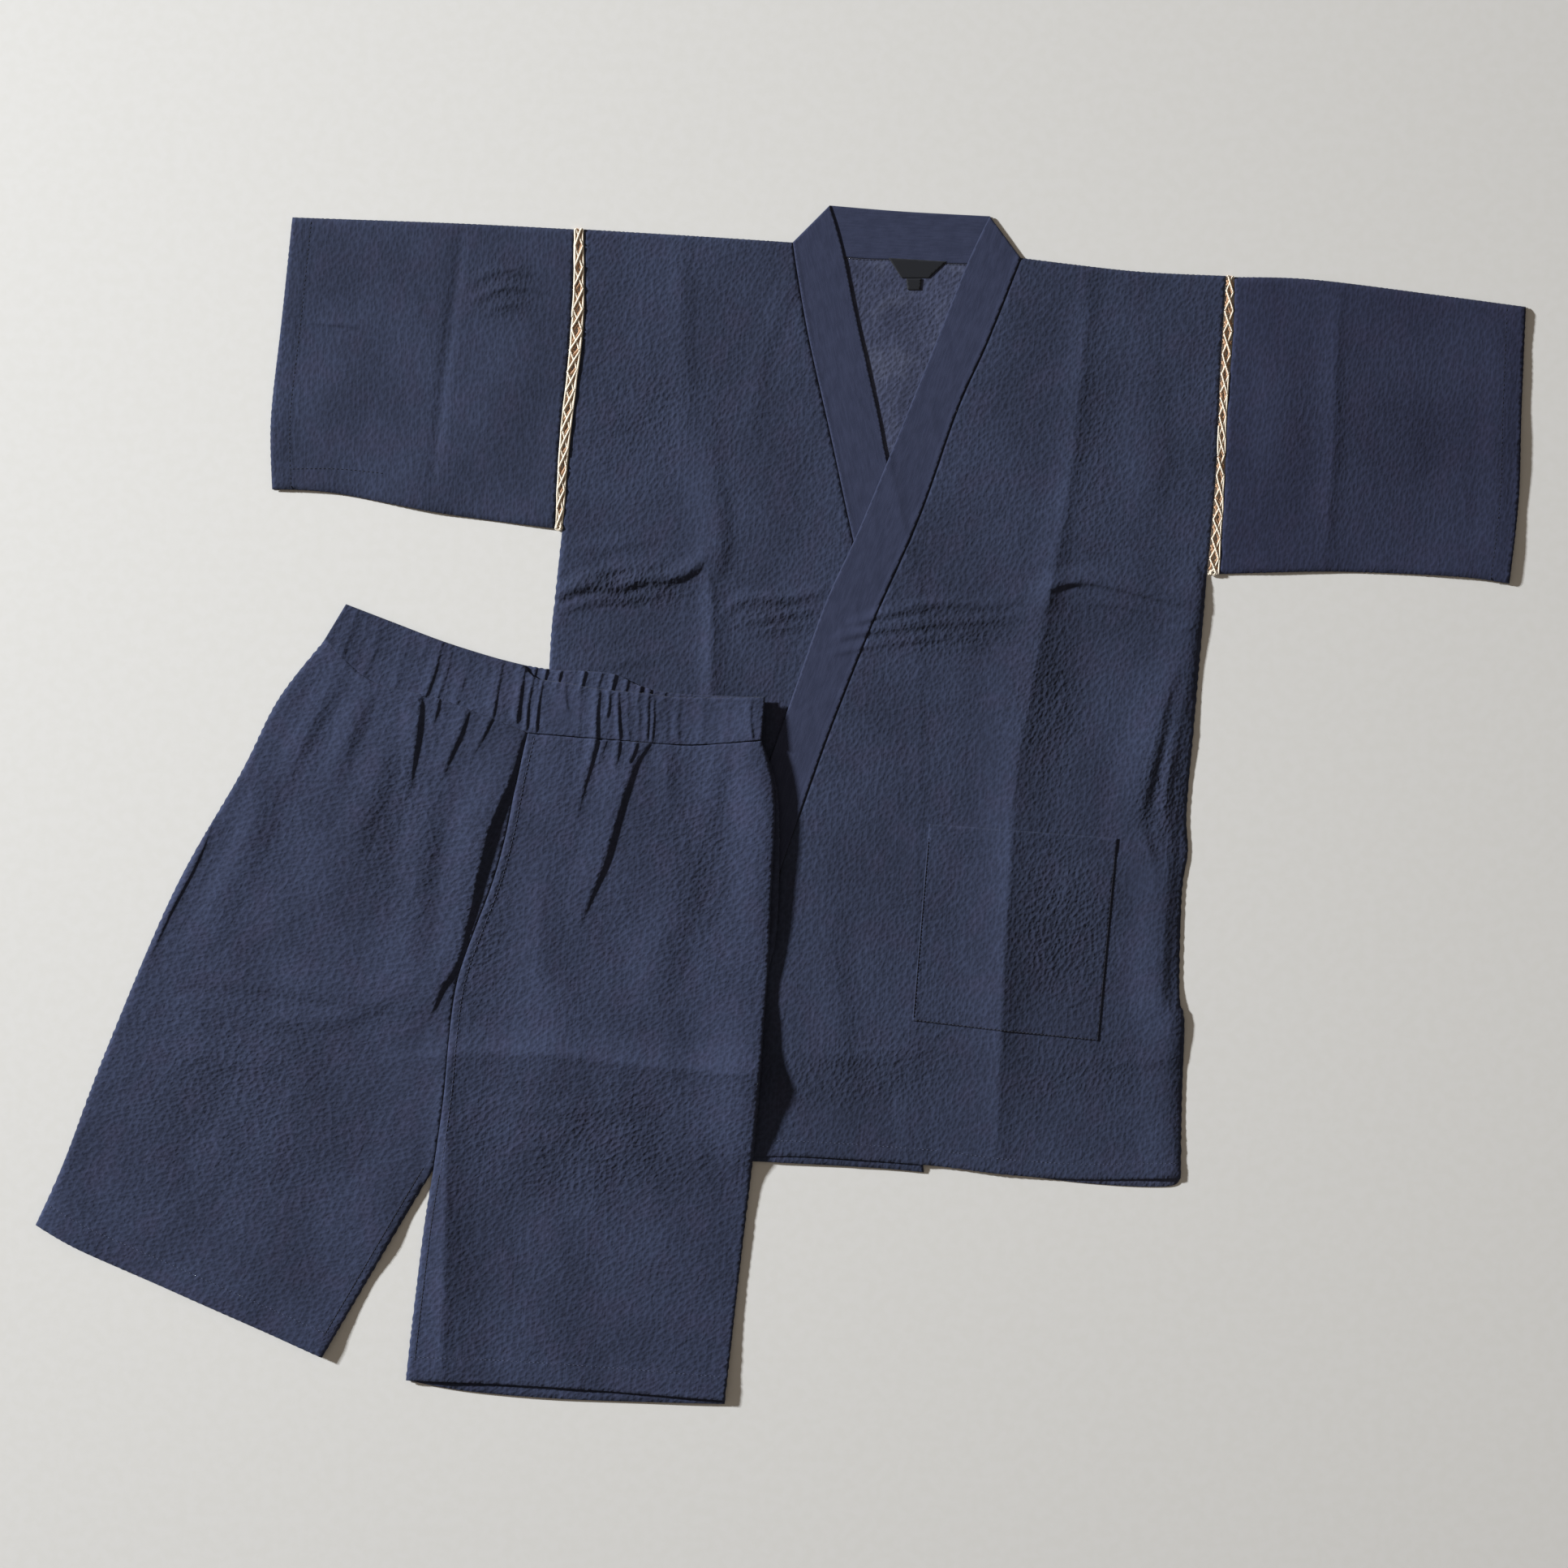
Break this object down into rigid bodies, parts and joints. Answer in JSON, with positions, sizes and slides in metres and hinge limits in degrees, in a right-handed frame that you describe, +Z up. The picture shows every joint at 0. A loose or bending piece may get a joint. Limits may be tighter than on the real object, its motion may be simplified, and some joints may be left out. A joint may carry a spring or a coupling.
{
  "type": "jinbei laid flat, jacket and shorts",
  "caption": "Summer jinbei set laid flat: a short wrap jacket with laced-on wide sleeves and a patch pocket, and elastic-waist shorts over its lower corner.",
  "frame": {"origin": "on the surface that the set lies on, under the middle of the set's box", "axes": "+X across the set towards the jacket's left cuff, +Y from the hems to the collar, +Z up from the surface"},
  "size_m": [1.2476, 1.0036, 0.016],
  "materials": {
    "jacket_cloth": "matt navy cotton crepe with fine puckered ribs",
    "collar_cloth": "matt navy plain cotton",
    "shorts_cloth": "matt navy cotton crepe with fine puckered ribs",
    "lacing_cord": "matt cream twisted cotton cord",
    "label_cloth": "matt black woven tape"
  },
  "bodies": {
    "root": {"jacket_back": "jacket_cloth", "jacket_right_front": "jacket_cloth", "jacket_left_front": "jacket_cloth", "right_sleeve": "jacket_cloth", "left_sleeve": "jacket_cloth", "patch_pocket": "jacket_cloth", "left_front_tie": "collar_cloth", "right_side_tie": "collar_cloth", "collar_back": "collar_cloth", "collar_right": "collar_cloth", "collar_left": "collar_cloth", "right_armhole_lacing": "lacing_cord", "left_armhole_lacing": "lacing_cord", "neck_label": "label_cloth", "size_label": "label_cloth", "shorts_right_back": "shorts_cloth", "shorts_left_back": "shorts_cloth", "shorts_right_front": "shorts_cloth", "shorts_left_front": "shorts_cloth", "waistband": "shorts_cloth"}
  },
  "joints": []
}
